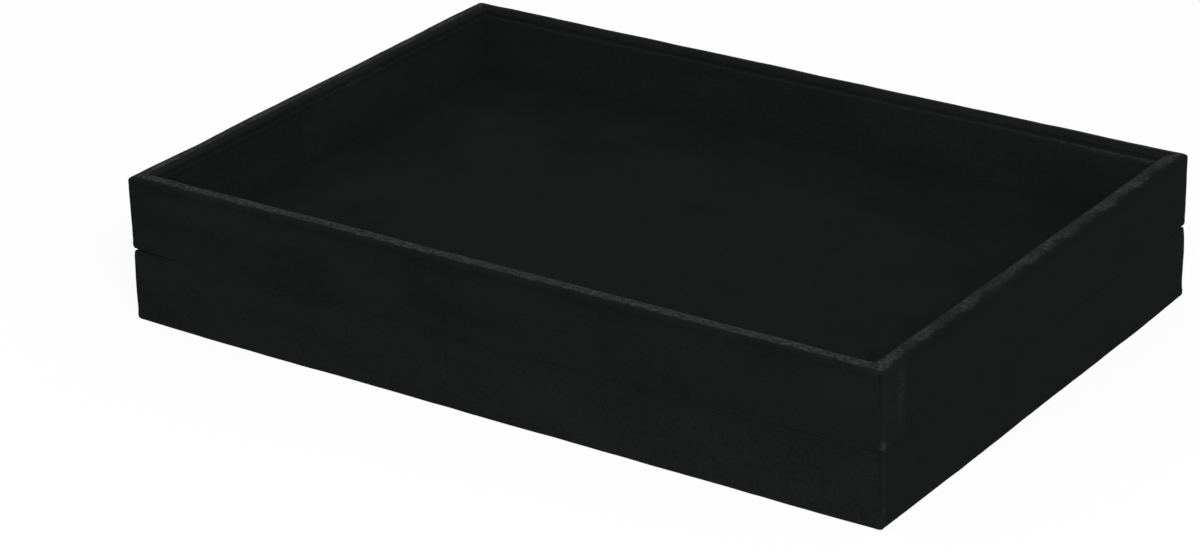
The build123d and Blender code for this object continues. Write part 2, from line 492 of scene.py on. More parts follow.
def mesh_piece(name, points, faces, paleness, caps=()):
    """A smooth-shaded mesh object from arrays, with how pale or dark its pile is at each point."""
    mesh = bpy.data.meshes.new(name)
    loops = np.concatenate([faces.ravel(), *[np.asarray(cap) for cap in caps]]).astype(np.int32)
    sizes = np.concatenate([np.full(len(faces), 4), [len(cap) for cap in caps]]).astype(np.int32)
    starts = np.concatenate([[0], np.cumsum(sizes)[:-1]]).astype(np.int32)
    mesh.vertices.add(len(points))
    mesh.vertices.foreach_set("co", np.ascontiguousarray(points, np.float32).ravel())
    mesh.loops.add(len(loops))
    mesh.loops.foreach_set("vertex_index", loops)
    mesh.polygons.add(len(sizes))
    mesh.polygons.foreach_set("loop_start", starts)
    mesh.polygons.foreach_set("use_smooth", np.ones(len(sizes), bool))
    mesh.update(calc_edges=True)
    mesh.validate()
    field = mesh.attributes.new("paleness", "FLOAT", "POINT")
    field.data.foreach_set("value", np.ascontiguousarray(paleness, np.float32).ravel())
    piece = bpy.data.objects.new(name, mesh)
    bpy.context.scene.collection.objects.link(piece)
    return piece


def perimeter(tray):
    """Stations round a rectangle with rounded corners, starting at the front end of the right side.

    Each has a place along the sides from -1 to 1 in both directions, and the way it faces."""
    reach = tray.half_depth - CORNER_RADIUS
    lap_edge = 1 - (LAP_WIDTH - CORNER_RADIUS) / reach
    beside_edge = LAP_EDGE_STATIONS / reach
    long_side = crowded_steps(-1, 1, LONG_WALL_STATIONS, STATION_CROWDING)
    short_side = crowded_steps(-1, 1, SHORT_WALL_STATIONS, STATION_CROWDING)
    short_side = np.sort(np.concatenate([short_side, lap_edge + beside_edge, -lap_edge + beside_edge]))
    quarter = math.pi / 2
    turn = inner_steps(0, quarter, CORNER_STATIONS)
    corner = np.ones_like(turn)
    side_x, side_y = np.ones_like(short_side), np.ones_like(long_side)
    x_place = [side_x, corner, -long_side, -corner, -side_x, -corner, long_side, corner]
    y_place = [short_side, corner, side_y, corner, -short_side, -corner, -side_y, -corner]
    facing = [
        0 * side_x, turn, 0 * side_y + quarter, turn + quarter,
        0 * side_x + 2 * quarter, turn + 2 * quarter, 0 * side_y + 3 * quarter, turn + 3 * quarter,
    ]
    return tuple(np.concatenate(part) for part in (x_place, y_place, facing))


def wrap_section(tray, foot_radius, rim_radius):
    """The closed outline of the wrap across a wall, as depth and height, and which points show.

    It runs down the rabbet, out under the foot, up the outside, over a slightly crowned rim and
    down the inside, then back along the boards. Every radius gives the same number of points."""
    skin, wall, lip = tray.velvet, tray.wall, tray.lip
    foot, rim, ledge = tray.foot, tray.rim, tray.ledge
    outside = inner_steps(foot + foot_radius, rim - rim_radius, OUTSIDE_POINTS)
    across_rim = inner_steps(rim_radius, wall - RIM_INNER_RADIUS, RIM_TOP_POINTS)
    arch = CROWN * (1 - ((across_rim - wall / 2) / (wall / 2)) ** 2)
    under = np.linspace(lip - UNDER_STARTS, foot_radius, HEM_POINTS + 1)[:-1]
    inside_top = rim - RIM_INNER_RADIUS - INSIDE_STARTS
    shown = np.concatenate([
        run((lip, ledge), (lip, foot + HEM_RADIUS), RABBET_STEP),
        arc_corner((lip, ledge), (lip, foot), (0, foot), HEM_RADIUS, HEM_POINTS),
        np.stack([under, np.full_like(under, foot)], axis=1),
        arc_corner((lip, foot), (0, foot), (0, rim), foot_radius, FOOT_POINTS),
        np.stack([np.zeros_like(outside), outside], axis=1),
        arc_corner((0, foot), (0, rim), (wall, rim), rim_radius, RIM_POINTS),
        np.stack([across_rim, rim + arch], axis=1),
        arc_corner((0, rim), (wall, rim), (wall, ledge), RIM_INNER_RADIUS, RIM_POINTS),
        run((wall, inside_top), (wall, ledge), INSIDE_STEP),
        [(wall, ledge)],
    ])
    inner, outer = wall - skin, skin
    high, low = rim - skin, foot + skin
    hidden = np.concatenate([
        run((inner, ledge), (inner, high - HIDDEN_MARGIN), HIDDEN_STEP),
        arc_corner((inner, ledge), (inner, high), (outer, high), HIDDEN_RADIUS, HEM_POINTS),
        arc_corner((wall, high), (outer, high), (outer, foot), HIDDEN_RIM_RADIUS, HEM_POINTS + 1),
        run((outer, high - HIDDEN_RIM_MARGIN), (outer, low + HIDDEN_MARGIN), HIDDEN_STEP),
        arc_corner((outer, rim), (outer, low), (lip, low), HIDDEN_RADIUS, HEM_POINTS),
        [(lip - skin, low), (lip - skin, ledge)],
    ])
    return close_outline(shown, hidden)


class WrapPoints:
    """Every point of one tray's wrap, as arrays: a station round the tray by a point of the section.

    A point at some depth lies on the tray's rounded rectangle, inset by that depth. The section is
    tight along the walls and rounder near the corners."""

    def __init__(self, tray):
        self.tray = tray
        self.covered = tray.rim < cad_box[1].z - tray.velvet
        x_place, y_place, facing = (part[:, None] for part in perimeter(tray))
        self.stations = len(x_place)
        self.out_x, self.out_y = np.cos(facing), np.sin(facing)
        self.walls = {
            "front": np.clip(-self.out_y, 0, 1) ** 2,
            "back": np.clip(self.out_y, 0, 1) ** 2,
            "left": np.clip(-self.out_x, 0, 1) ** 2,
            "right": np.clip(self.out_x, 0, 1) ** 2,
        }
        end_x = (1 - np.abs(x_place)) * tray.half_length
        end_y = (1 - np.abs(y_place)) * tray.half_depth
        self.slack = np.where((x_place > 0) & (y_place < 0), LAPPED_CORNER_SLACK, 1)
        near_corner = self.slack * np.exp(-np.maximum(end_x, end_y) / SEAM_OPENS)
        loose = np.maximum(near_corner, self.by_wall(WALL_SLACK))
        self.outline, self.shows = self.section(SEAM_RADIUS, SEAM_RADIUS, RIM_OUTER_RADIUS)
        loose_outline, _ = self.section(CORNER_FOOT_RADIUS, CORNER_SEAM_RADIUS, CORNER_RIM_RADIUS)
        self.depth = self.outline[:, 0] + loose * (loose_outline - self.outline)[:, 0]
        self.height = self.outline[:, 1] + loose * (loose_outline - self.outline)[:, 1]
        turns = outline_turns(self.outline)
        self.normal_out, self.normal_up = turns[:, 1], turns[:, 0]

        self.x, self.y = self.inset(x_place, y_place, self.depth)
        self.from_side_x = tray.half_length - np.abs(self.x)
        self.from_side_y = tray.half_depth - np.abs(self.y)
        outer_x, outer_y = self.inset(x_place, y_place, 0)
        self.side_run = run_length(np.diff(outer_x[:, 0]), np.diff(outer_y[:, 0]))[:, None]
        self.section_run = run_length(*np.diff(self.outline, axis=0).T)
        self.on_top = self.height > tray.rim - RIM_TOP_WITHIN
        self.high_up = np.clip((self.height - tray.foot) / (tray.rim - tray.foot), 0, 1)

    def by_wall(self, values):
        """A value that differs from wall to wall, blended round the corners between them."""
        return sum(values[wall] * weight for wall, weight in self.walls.items())

    def section(self, foot_radius, seam_radius, rim_radius):
        """The wrap's outline with one radius for a foot or rim in the seam, and others outside it."""
        if self.covered:
            return wrap_section(self.tray, foot_radius, seam_radius)
        return wrap_section(self.tray, seam_radius, rim_radius)

    def inset(self, x_place, y_place, depth):
        """Both coordinates of stations on the tray's rounded rectangle, moved in by a depth."""
        radius = CORNER_RADIUS + (INNER_CORNER_RADIUS - CORNER_RADIUS) * depth / self.tray.wall
        x = x_place * (self.tray.half_length - depth - radius) + radius * self.out_x
        y = y_place * (self.tray.half_depth - depth - radius) + radius * self.out_y
        return x, y

    def at_corner(self, reach):
        """1 at the upright corner edges, falling off along both walls, on the outside only."""
        near = bell(self.from_side_x, 0, reach) * bell(self.from_side_y, 0, reach)
        return near * (self.depth < AT_CORNER_WITHIN)

    def toward_lap_corner(self, seed):
        """How far a point of the lapped side lies past the ragged edge of the lap."""
        frayed = waves(LAP_FRAYS, seed)(self.height, 0)
        return -self.tray.lap_corner * self.y - (self.tray.half_depth - LAP_WIDTH) + frayed

    def on_lapped_side(self):
        """1 on the outside of the wall that holds the lap, falling to 0 round its edges.

        Round its upright edges it falls by the fourth power of the cosine of the turn."""
        outside = np.clip((LAP_TURNS_WITHIN - self.depth) / LAP_TURNS_WITHIN, 0, 1)
        facing_out = np.clip(self.tray.lap_corner * self.out_x, 0, 1) ** 4
        return facing_out * outside * (self.height > self.tray.foot + LAP_STARTS)


def wrap_lift(at, seed):
    """How far each point of the wrap stands off its plain section, along its own normal.

    It adds up the pile, gentle waves, a crease at each mitre, a nub where the hem is folded under
    each corner, a tuck at the seam's corners, a fold line beside them, and the lap."""
    tray = at.tray
    lift = waves(BILLOWS, seed)(at.side_run, at.section_run)
    lift += waves(PUCKERS, seed)(at.side_run, at.section_run)
    pile = between((PILE, INNER_PILE), np.clip(at.depth / PILE_GROWS_OVER, 0, 1))
    squashed = at.covered & (at.height > tray.rim - SQUASHED_WITHIN)
    lift += np.where(squashed, 0, pile) * np.clip((at.height - tray.foot) / PILE_STARTS_OVER, 0, 1)

    off_mitre = (at.from_side_x - at.from_side_y) / math.sqrt(2)
    on_rim = np.clip(at.normal_up, 0, 1) * (at.height > tray.rim - ON_TOP_WITHIN)
    mitre_starts = np.clip(at.depth / MITRE_STARTS_OVER, 0, 1)
    lift -= MITRE_CREASE * bell(off_mitre, 0, MITRE_WIDTH) * on_rim * mitre_starts
    nub = at.at_corner(NUB_REACH) * bell(at.height, tray.foot + NUB_HEIGHT, NUB_SPREAD)
    lift += NUB_RISE * nub

    seam = tray.rim if at.covered else tray.foot
    tuck_height = np.where(at.x > 0, RIGHT_TUCK_HEIGHT, LEFT_TUCK_HEIGHT)
    lift -= TUCK * at.slack * at.at_corner(TUCK_REACH) * bell(at.height, seam, tuck_height)
    on_long_wall = (at.from_side_y < BESIDE_EDGE_WITHIN) & (at.depth < FACE_WITHIN)
    fold = bell(at.from_side_x, FOLD_PLACE, FOLD_WIDTH) * on_long_wall
    lift -= FOLD * fold * (at.height > tray.foot + FOLD_STARTS)

    past_edge, outside = at.toward_lap_corner(seed), at.on_lapped_side()
    lift += LAP_RISE * rise(past_edge, LAP_EDGE_WIDTH) * outside
    lift += LAP_ROLL * bell(past_edge, LAP_ROLL_PLACE, LAP_ROLL_WIDTH) * outside
    return np.maximum(lift, -LOWEST_SHARE * tray.velvet) * at.shows


def rim_pile_and_highlight(at, seed, tufted):
    """Opened pile and a painted highlight on top of the rim: a patchy band between two depths, and a
    painted highlight line inside it.

    The band rises to its share and falls from it in straight slopes, and its outer edge wanders.
    It is weaker on part of the right rim and has more painted highlight at the right end of the back rim."""
    patched = waves(PATCHED, seed)(at.side_run, at.section_run) * at.by_wall(BAND_PATCHED_BY)
    wander = waves(BAND_WANDERS, seed)(at.side_run, 0) * at.by_wall(BAND_WANDERS_BY)
    starts = at.by_wall(BAND_STARTS) + wander
    band = rise(at.depth - starts, at.by_wall(BAND_START_WIDTH))
    band *= rise(at.by_wall(BAND_ENDS) - at.depth, BAND_END_WIDTH)
    lessened = RIGHT_BAND_WEAKER * bell(at.y, RIGHT_BAND_WEAKER_PLACE, RIGHT_BAND_WEAKER_REACH)
    # Painted highlight at the right end of the back rim
    back_highlight = BACK_RIM_PAINTED_HIGHLIGHT * np.clip((at.x - BACK_HIGHLIGHT_FROM) / BACK_HIGHLIGHT_OVER, 0, 1)
    paleness = BAND_PILE_AND_HIGHLIGHT | {"right": BAND_PILE_AND_HIGHLIGHT["right"] - lessened, "back": BAND_PILE_AND_HIGHLIGHT["back"] + back_highlight}
    # A painted highlight line along the inner edge
    painted_highlight_line = bell(at.depth, at.tray.wall - INNER_LINE_INSET, INNER_LINE_WIDTH)
    total = band * at.by_wall(paleness) + painted_highlight_line * at.by_wall(INNER_LINE_PAINTED_HIGHLIGHT)
    return total * at.on_top * tufted * np.clip(1 + patched, *PATCHED_RANGE)


def outside_opened(at, seed, tufted):
    """Paler pile of the marks on the outside of the wrap, where it stands open.

    It is the largest of the shares of the upright edges, the nub and the rim's tip at the lapped
    corner, the lap with its streak and its edge, and the hem."""
    foot, lap_side = at.tray.foot, at.tray.lap_corner
    near_lap = (lap_side * at.x > 0) * (-lap_side * at.y > 0)
    on_short_wall = (at.from_side_x < BESIDE_EDGE_WITHIN) & (at.depth < AT_CORNER_WITHIN)
    beside_corner = bell(at.from_side_y, BESIDE_CORNER_PLACE, BESIDE_CORNER_WIDTH) * on_short_wall
    nub = bell(at.from_side_x, 0, NUB_OPENED_X_WIDTH)
    nub = nub * bell(at.from_side_y, NUB_OPENED_Y_PLACE, NUB_OPENED_Y_WIDTH)
    nub = nub * bell(at.height, foot + NUB_HEIGHT, NUB_OPENED_SPREAD) * (at.depth < AT_CORNER_WITHIN)
    tip = bell(at.from_side_x, TIP_X_PLACE, TIP_X_WIDTH)
    tip = tip * bell(at.from_side_y, TIP_Y_PLACE, TIP_Y_WIDTH) * at.on_top
    hem = bell(at.height, foot + HEM_OPENED_HEIGHT, HEM_OPENED_WIDTH) * (at.depth < HEM_WITHIN)
    past_edge, outside = at.toward_lap_corner(seed), at.on_lapped_side()
    lapped = rise(past_edge, LAP_EDGE_WIDTH) * outside
    streak = bell(past_edge, STREAK_PLACE, STREAK_WIDTH) * outside
    lap_edge = bell(past_edge, LAP_EDGE_PLACE, LAP_EDGE_OPENED_WIDTH) * outside
    paleness = 0
    for share in (
        CORNER_OPENED * at.at_corner(CORNER_REACH) * tufted,
        between(BESIDE_CORNER_OPENED, at.high_up) * beside_corner * tufted,
        NUB_OPENED * nub * near_lap,
        TIP_OPENED * tip * near_lap,
        LAP_OPENED * lapped,
        between(STREAK_OPENED, at.high_up) * streak * tufted,
        between(LAP_EDGE_OPENED, at.high_up) * lap_edge * tufted,
        at.by_wall(HEM_OPENED) * hem,
    ):
        paleness = np.maximum(paleness, share)
    return paleness


def wrap_darkened(at):
    """How far the pile of the wrap is painted darker.

    Painted shade lies where the cloth turns up over the rim's outer edge, less so near the corners,
    and on the inner part of the back rim. The pile is also darker in a line beside each upright edge."""
    rim = at.tray.rim
    # Painted shade where the cloth turns up over the rim's outer edge
    rim_edge_shade = bell(at.depth, RIM_EDGE_SHADE_PLACE, RIM_EDGE_SHADE_DEPTH) * bell(at.height, rim, RIM_EDGE_SHADE_HEIGHT)
    near_corner = bell(at.from_side_x, 0, RIM_EDGE_SHADE_SPARED_REACH)
    near_corner = near_corner * bell(at.from_side_y, 0, RIM_EDGE_SHADE_SPARED_REACH)
    rim_edge_shade = rim_edge_shade * at.by_wall(RIM_EDGE_SHADE_WALLS) * (1 - RIM_EDGE_SHADE_SPARED * near_corner)
    # Painted shade on the inner part of the back rim
    back_rim = np.clip((at.depth - BACK_RIM_SHADE_FROM) / BACK_RIM_SHADE_OVER, 0, 1)
    back_rim = back_rim * at.walls["back"] * at.on_top
    on_long_wall = (at.from_side_y < FACE_WITHIN) & (at.depth < FACE_WITHIN)
    corner_line = bell(at.from_side_x, CORNER_LINE_PLACE, CORNER_LINE_WIDTH) * on_long_wall * at.high_up
    rim_edge_shade_by = SEAM_RIM_PAINTED_SHADE if at.covered else FREE_RIM_PAINTED_SHADE
    return rim_edge_shade_by * rim_edge_shade + BACK_RIM_PAINTED_SHADE * back_rim + CORNER_LINE_DARKER * corner_line


def wrap_paleness(at, seed):
    """How pale the pile of the wrap is, up to 1, or how dark, below 0.

    It is the larger of the rim's and the outside's shares, plus painted light on the lower tray's
    front face and painted shade on the upper tray's right face, less what is darkened."""
    tufted = 1 + waves(TUFTED, seed)(at.side_run, at.section_run)
    tufted = np.clip(tufted, *TUFTED_RANGE)
    paleness = np.maximum(rim_pile_and_highlight(at, seed, tufted), outside_opened(at, seed, tufted))
    # Painted light on the lower tray's front face, lighter towards the right; painted shade on the upper
    # tray's right face
    if at.covered:
        tone_shift = (LOWER_FRONT_PAINTED_LIGHT + LOWER_FRONT_PAINTED_LIGHT_SLOPE * at.x / at.tray.half_length) * at.walls["front"]
    else:
        tone_shift = -UPPER_RIGHT_PAINTED_SHADE * at.walls["right"]
    return paleness + tone_shift * (at.depth < OUTSIDE_WITHIN) - wrap_darkened(at)


def make_frame_cloth(tray, seed):
    """The velvet wrap of one tray: its section carried round a rounded rectangle, then lifted."""
    at = WrapPoints(tray)
    lift = wrap_lift(at, seed)
    x = at.x + at.out_x * at.normal_out * lift
    y = at.y + at.out_y * at.normal_out * lift
    z = at.height + at.normal_up * lift
    z = np.clip(z, tray.foot, tray.rim if at.covered else np.inf)
    points = np.stack([x, y, z], axis=-1).reshape(-1, 3)
    faces = grid_faces(at.stations, len(at.outline), True, True)[:, ::-1]
    piece = mesh_piece(f"{tray.name}_frame_cloth", points, faces, wrap_paleness(at, seed))
    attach(piece, f"{tray.name}_tray")
    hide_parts(f"{tray.name}_frame_wrap")
    return piece


def liner_section(tray):
    """The closed outline of a liner's velvet, and the number of the middle point of its top edge.

    It runs up the face, round the edge and over the card, then back along its hidden side."""
    skin, wall, face = tray.velvet, tray.wall, tray.liner_face
    top, ledge = tray.liner_top, tray.ledge
    up_face = run((face, ledge), (face, top - LINER_EDGE_RADIUS), LINER_STEP)
    edge = arc_corner((face, ledge), (face, top), (wall, top), LINER_EDGE_RADIUS, LINER_EDGE_POINTS)
    shown = np.concatenate([up_face, edge, [(wall + LINER_TOP_POINT, top), (wall, top)]])
    hidden = np.array([(wall, top - skin), (face - skin, top - skin), (face - skin, ledge)])
    outline, shows = close_outline(shown, hidden)
    return outline, shows, len(up_face) + len(edge) // 2


def make_liner_cloth(tray, wall_name, seed):
    """Velvet over one liner: a hooked section carried along the wall, uneven along its top edge.

    Each point swells out along its normal by an uneven amount, and the top is puffed up and sags."""
    outline, shows, edge_point = liner_section(tray)
    depth, height = outline[:, 0], outline[:, 1]
    turns = outline_turns(outline)
    section_run = run_length(*np.diff(outline, axis=0).T)
    side, is_long = WALL_SIDES[wall_name], wall_name in LONG_WALLS
    half = tray.half_length - tray.wall if is_long else tray.half_depth - tray.liner_face
    count = LONG_LINER_STATIONS if is_long else SHORT_LINER_STATIONS
    along = crowded_steps(-half, half, count, LINER_CROWDING)[:, None]
    swell = (LINER_SWELL - waves(LINER_BILLOWS, seed)(along, section_run)) * shows
    puff = LINER_PUFF + waves(LINER_SAG, seed)(along, 0)
    inward = depth + turns[:, 1] * swell
    up = height + puff * (height > tray.liner_top - LINER_TOP_WITHIN)
    up = up - turns[:, 0] * swell * (height > tray.ledge + LINER_FOOT_WITHIN)
    long = np.broadcast_to(along, up.shape)
    if is_long:
        x, y = long, side * (tray.half_depth - inward)
    else:
        x, y = side * (tray.half_length - inward), long
    points = np.stack([x, y, up], axis=-1).reshape(-1, 3)
    faces = grid_faces(count, len(depth), False, True)
    ring = np.arange(len(depth))
    caps = [ring[::-1], ring + (count - 1) * len(depth)]
    turned_in = side > 0 if is_long else side < 0
    if turned_in:
        faces = faces[:, ::-1]
        caps = [cap[::-1] for cap in caps]

    # Painted light over the face, and along the top edge a painted highlight, or painted shade on the left
    # liner
    edge = bell(section_run, section_run[edge_point], LINER_EDGE_WIDTH) * shows
    tufted = 1 + waves(LINER_TUFTED, seed)(along, section_run)
    edge_painted = LINER_EDGE_HIGHLIGHT_AND_SHADE[wall_name]
    if wall_name == "back":
        edge_painted = edge_painted * np.clip((along - BACK_HIGHLIGHT_FROM) / BACK_HIGHLIGHT_OVER, 0, 1)
    paleness = LINER_PAINTED_LIGHT[wall_name] + edge_painted * edge * np.clip(tufted, *LINER_TUFTED_RANGE)
    piece = mesh_piece(f"{tray.name}_{wall_name}_liner_cloth", points, faces, paleness, caps)
    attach(piece, f"{tray.name}_tray")
    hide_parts(f"{tray.name}_{wall_name}_liner_velvet")
    return piece


def make_floor_cloth(tray, seed):
    """Velvet over the floor card: a flat grid with a low uneven nap, rounded down at its edges.

    A point falls by the larger of its falls along both lines of the grid, each a quarter circle."""
    top, drop_to_card = tray.floor_top, tray.floor_top - tray.ledge
    turn = np.linspace(0, math.pi / 2, FLOOR_EDGE_POINTS)
    inset = np.concatenate([[0], FLOOR_EDGE_RADIUS * (1 - np.cos(turn))])
    drop = np.concatenate([[drop_to_card], FLOOR_EDGE_RADIUS * (1 - np.sin(turn))])
    half_x = tray.half_length - tray.floor_edge
    half_y = tray.half_depth - tray.floor_edge

    def line(half, count):
        flat = inner_steps(-half + inset[-1], half - inset[-1], count)
        place = np.concatenate([-half + inset, flat, half - inset[::-1]])
        fall = np.concatenate([drop, 0 * flat, drop[::-1]])
        return place, fall

    x_line, x_fall = line(half_x, FLOOR_STATIONS[0])
    y_line, y_fall = line(half_y, FLOOR_STATIONS[1])
    x, y = np.meshgrid(x_line, y_line, indexing="ij")
    fall = np.maximum(x_fall[:, None], y_fall[None, :])
    nap = waves(FLOOR_NAP, seed)(x, y) + waves(FLOOR_GRAIN, seed)(x, y)
    z = top - fall + (nap - FLOOR_SINKS) * (fall < FLOOR_FLAT_WITHIN)
    points = np.stack([x, y, z], axis=-1).reshape(-1, 3)
    faces = grid_faces(len(x_line), len(y_line), False, False)[:, ::-1]
    edge = bell(fall, FLOOR_EDGE_PLACE, FLOOR_EDGE_WIDTH) * (fall > 0)
    # Painted shade, eased off near the left wall, which leaves painted light in that wall's shadow
    lessened = FLOOR_SHADE_SPARED * np.exp(-(x + half_x) / FLOOR_SHADE_SPARED_REACH)
    paleness = FLOOR_EDGE_OPENED * edge - FLOOR_PAINTED_SHADE * (1 - lessened)
    piece = mesh_piece(f"{tray.name}_floor_cloth", points, faces, paleness)
    thickness = piece.modifiers.new("thickness", "SOLIDIFY")
    thickness.thickness = FLOOR_THICKNESS
    thickness.offset = -1
    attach(piece, f"{tray.name}_tray")
    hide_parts(f"{tray.name}_floor_velvet")
    return piece


def new_group(name, inputs, outputs):
    """An empty shader node group with these sockets, and its two ends."""
    tree = bpy.data.node_groups.new(name, "ShaderNodeTree")
    for label, kind, default in inputs:
        socket = tree.interface.new_socket(name=label, in_out="INPUT", socket_type=kind)
        socket.default_value = default
    for label, kind in outputs:
        tree.interface.new_socket(name=label, in_out="OUTPUT", socket_type=kind)
    return tree, tree.nodes.new("NodeGroupInput"), tree.nodes.new("NodeGroupOutput")


def set_inputs(tree, node, values):
    """Links or sets a node's sockets, found by name or number."""
    for key, value in values.items():
        if isinstance(value, bpy.types.NodeSocket):
            tree.links.new(value, node.inputs[key])
        else:
            node.inputs[key].default_value = value


def add_node(tree, kind, values=None, **settings):
    """A node with these settings, and with its sockets linked or set."""
    node = tree.nodes.new(kind)
    for key, value in settings.items():
        setattr(node, key, value)
    set_inputs(tree, node, values or {})
    return node


def math_node(tree, operation, first, second, clamp=False):
    """The result of one arithmetic step on two numbers."""
    node = add_node(tree, "ShaderNodeMath", {0: first, 1: second}, operation=operation, use_clamp=clamp)
    return node.outputs[0]


def noise(tree, place, texture):
    """A soft noise from 0 to 1, mostly near its middle."""
    values = {"Scale": texture.scale, "Detail": texture.detail, "Roughness": texture.rough}
    return add_node(tree, "ShaderNodeTexNoise", {"Vector": place, **values}).outputs["Fac"]


def stretched(tree, place, scale):
    """Places scaled by their own factor along each axis."""
    return add_node(tree, "ShaderNodeMapping", {"Vector": place, "Scale": scale}).outputs[0]


def mix(tree, share, first, second):
    """A colour or number this share of the way from the first to the second."""
    node = add_node(tree, "ShaderNodeMix", data_type="RGBA")
    set_inputs(tree, node, {0: share, 6: first, 7: second})
    return node.outputs[2]


def spread(tree, value, from_pair, to_pair=(0.0, 1.0)):
    """A value carried in a straight line from one range to another, and held at its ends."""
    ends = {"From Min": from_pair[0], "From Max": from_pair[1], "To Min": to_pair[0], "To Max": to_pair[1]}
    return add_node(tree, "ShaderNodeMapRange", {"Value": value, **ends}, clamp=True).outputs[0]


def shades(colour, shares):
    """A darker and a lighter colour of the same hue."""
    return [(*(min(1.0, share * part) for part in colour), 1) for share in shares]


def build_pile_group():
    """Velvet pile: streaky blotches from brushing, fine tufts, and paler pile where it is opened at an
    edge or where a highlight or light is painted.

    The pile's colour is scaled by 1 plus its blotches and grain, and by 1 less what is darkened, which
    is painted shade and a darker line by the upright edges. Then it gives way to the ground's colour
    by the paleness share, which comes in flecks."""
    tree, start, end = new_group(
        "velvet_pile",
        [
            ("Vector", "NodeSocketVector", (0, 0, 0)),
            ("Paleness", "NodeSocketFloat", 0.0),
            ("Pile", "NodeSocketColor", (*VELVET_PILE, 1)),
            ("Ground", "NodeSocketColor", (*VELVET_GROUND, 1)),
            ("Blotches", "NodeSocketFloat", BLOTCHES),
        ],
        [("Color", "NodeSocketColor"), ("Height", "NodeSocketFloat")],
    )
    place, paleness = start.outputs["Vector"], start.outputs["Paleness"]

    def plus(first, second):
        return math_node(tree, "ADD", first, second)

    def times(first, second):
        return math_node(tree, "MULTIPLY", first, second)

    tone_shift = plus(noise(tree, stretched(tree, place, BRUSHED_STRETCH), BRUSHED), -0.5)
    mottled = plus(noise(tree, place, MOTTLED), -0.5)
    tufts, clumps = noise(tree, place, TUFTS), noise(tree, place, CLUMPS)
    blotches = plus(times(tone_shift, BRUSHED_SHARE), times(mottled, MOTTLED_SHARE))
    blotches = times(blotches, start.outputs["Blotches"])
    grain = times(plus(plus(tufts, clumps), -1.0), GRAIN)
    darkened = math_node(tree, "MINIMUM", paleness, 0.0)
    factor = times(plus(plus(blotches, grain), 1.0), plus(darkened, 1.0))
    pile = add_node(tree, "ShaderNodeVectorMath", {0: start.outputs["Pile"]}, operation="SCALE")
    tree.links.new(factor, pile.inputs["Scale"])
    flecks = spread(tree, noise(tree, place, FLECKS), FLECKS_FROM, FLECKS_TO)
    open_share = math_node(tree, "MULTIPLY", paleness, flecks, clamp=True)
    colour = mix(tree, open_share, pile.outputs[0], start.outputs["Ground"])
    tree.links.new(colour, end.inputs["Color"])
    tree.links.new(plus(times(tufts, TUFT_HEIGHT), clumps), end.inputs["Height"])
    return tree


def new_material(name):
    """An empty material, its nodes, its shader and the place of each point on the piece."""
    material = bpy.data.materials.new(name)
    material.use_nodes = True
    tree = material.node_tree
    shader = next(n for n in tree.nodes if n.type == "BSDF_PRINCIPLED")
    place = tree.nodes.new("ShaderNodeTexCoord").outputs["Object"]
    return material, tree, shader, place


def add_bump(tree, shader, height, distance, strength):
    """Tilts the shader's normal by a height that varies over the surface."""
    values = {"Height": height, "Distance": distance, "Strength": strength}
    tree.links.new(add_node(tree, "ShaderNodeBump", values).outputs[0], shader.inputs["Normal"])


def velvet_material(name):
    """Short black pile. Its sheen is a constant on the shader."""
    material, tree, shader, place = new_material(name)
    paleness = add_node(tree, "ShaderNodeAttribute", attribute_name="paleness").outputs["Fac"]
    pile = tree.nodes.new("ShaderNodeGroup")
    pile.node_tree = build_pile_group()
    set_inputs(tree, pile, {"Vector": place, "Paleness": paleness, "Blotches": BLOTCHES})
    set_inputs(tree, pile, {"Pile": (*VELVET_PILE, 1), "Ground": (*VELVET_GROUND, 1)})
    tree.links.new(pile.outputs["Color"], shader.inputs["Base Color"])
    shader.inputs["Roughness"].default_value = 0.95
    shader.inputs["Specular IOR Level"].default_value = 0.05
    shader.inputs["Sheen Weight"].default_value = 0.01
    shader.inputs["Sheen Roughness"].default_value = 0.3
    shader.inputs["Sheen Tint"].default_value = VELVET_SHEEN_TINT
    add_bump(tree, shader, pile.outputs["Height"], distance=0.25 * MM, strength=0.7)
    return material


def board_material(name, colour, fibre_share):
    """Raw fibreboard: fine pale and dark fibres in a brown ground."""
    material, tree, shader, place = new_material(name)
    fibres = noise(tree, place, BOARD_FIBRES)
    mixed = mix(tree, fibre_share, noise(tree, place, BOARD_CLOUDS), fibres)
    shade = mix(tree, spread(tree, mixed, NOISE_RANGE), *shades(colour, BOARD_SHADES))
    tree.links.new(shade, shader.inputs["Base Color"])
    shader.inputs["Roughness"].default_value = 0.85
    add_bump(tree, shader, fibres, distance=0.08 * MM, strength=0.5)
    return material


def paper_material(name, colour, rough, fibre_scale):
    """Card or paper: soft mottling and a slightly fibrous surface."""
    material, tree, shader, place = new_material(name)
    fibres = noise(tree, place, Texture(fibre_scale, 3.0, 0.65))
    shade = mix(tree, spread(tree, fibres, NOISE_RANGE), *shades(colour, PAPER_SHADES))
    tree.links.new(shade, shader.inputs["Base Color"])
    shader.inputs["Roughness"].default_value = rough
    add_bump(tree, shader, fibres, distance=0.04 * MM, strength=0.4)
    return material


def steel_material(name):
    """Bright steel wire with fine drawn scratches."""
    material, tree, shader, place = new_material(name)
    drawn = noise(tree, stretched(tree, place, DRAWN_STRETCH), DRAWN)
    tree.links.new(spread(tree, drawn, NOISE_RANGE, STEEL_ROUGHNESS), shader.inputs["Roughness"])
    tree.links.new(mix(tree, drawn, DARK_STEEL, BRIGHT_STEEL), shader.inputs["Base Color"])
    shader.inputs["Metallic"].default_value = 1.0
    return material


def dress(piece, material):
    """Gives a piece this one material."""
    piece.data.materials.clear()
    piece.data.materials.append(material)


